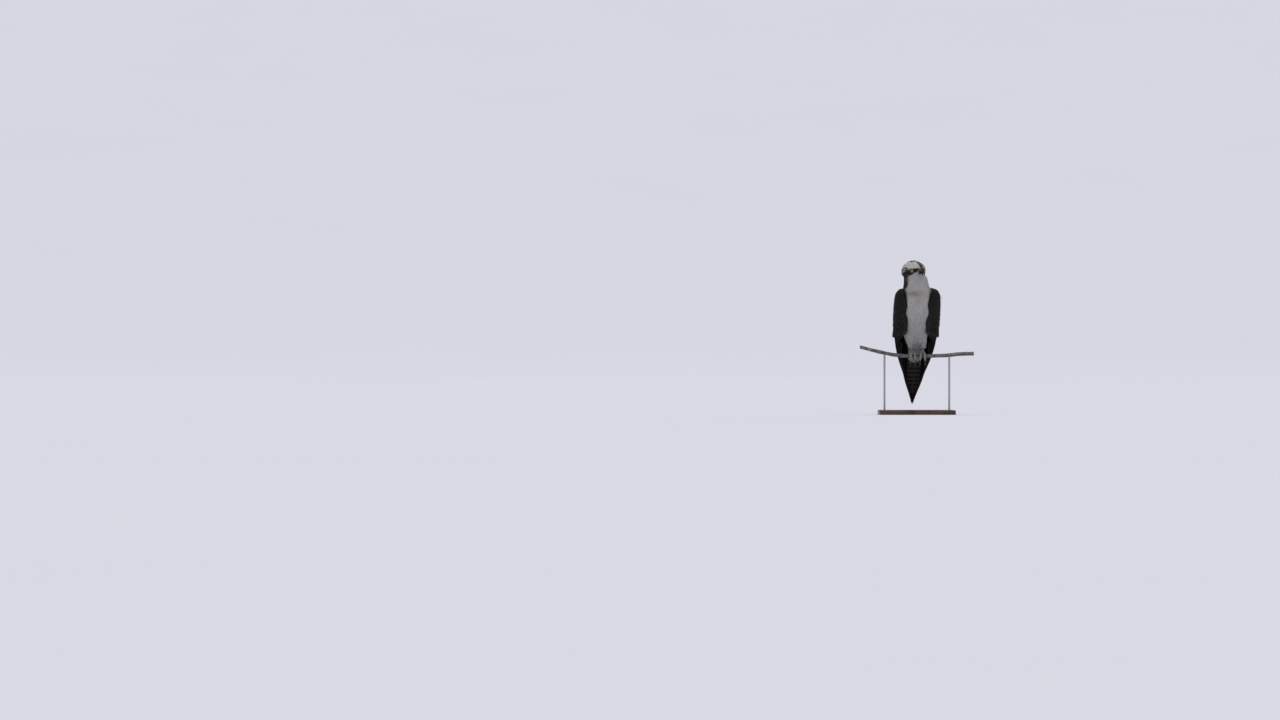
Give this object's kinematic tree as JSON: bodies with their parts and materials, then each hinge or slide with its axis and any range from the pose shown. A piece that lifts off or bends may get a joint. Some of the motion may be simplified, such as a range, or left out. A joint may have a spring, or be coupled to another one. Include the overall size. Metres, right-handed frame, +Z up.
{
  "type": "osprey on a display stand",
  "caption": "Life-size still model of an osprey perched upright on a cut length of branch, head turned a little to its left, held by two rods over a flat wooden base.",
  "frame": {"origin": "middle of the underside of the stand's base, below the middle of the whole object", "axes": "+Z up, the bird's breast faces -Y, its left side is +X and the branch runs along X"},
  "size_m": [0.45, 0.28, 0.607],
  "materials": {
    "plumage_dark": "blackish brown vaned feathers with a faint sheen and thin paler edges",
    "plumage_white": "soft white feathers, with a faint brownish band on the breast and a blackish mask on the head",
    "bill_black": "smooth black horn of the bill and claws",
    "eye_yellow": "yellow iris and black pupil under a clear wet surface",
    "leg_grey": "pale greenish grey scaled skin, rough under the toes",
    "bark": "weathered grey bark with fine cracks and twig scars",
    "stand_wood": "satin dark stained wood with a rounded edge",
    "rod_steel": "satin steel rod"
  },
  "bodies": {
    "root": {"beak_lower": "bill_black", "beak_upper": "bill_black", "claw_hind_left": "bill_black", "claw_hind_right": "bill_black", "claw_inner_left": "bill_black", "claw_inner_right": "bill_black", "claw_middle_left": "bill_black", "claw_middle_right": "bill_black", "claw_outer_left": "bill_black", "claw_outer_right": "bill_black", "eye_left": "eye_yellow", "eye_right": "eye_yellow", "head": "plumage_white", "neck": "plumage_white", "perch_branch": "bark", "stand_base": "stand_wood", "stand_rod_left": "rod_steel", "stand_rod_right": "rod_steel", "tail": "plumage_dark", "tarsus_left": "leg_grey", "tarsus_right": "leg_grey", "thigh_left": "plumage_white", "thigh_right": "plumage_white", "toe_hind_left": "leg_grey", "toe_hind_right": "leg_grey", "toe_inner_left": "leg_grey", "toe_inner_right": "leg_grey", "toe_middle_left": "leg_grey", "toe_middle_right": "leg_grey", "toe_outer_left": "leg_grey", "toe_outer_right": "leg_grey", "trunk": "plumage_white", "wing_left_coverts": "plumage_dark", "wing_left_primaries": "plumage_dark", "wing_left_secondaries": "plumage_dark", "wing_right_coverts": "plumage_dark", "wing_right_primaries": "plumage_dark", "wing_right_secondaries": "plumage_dark"}
  },
  "joints": []
}
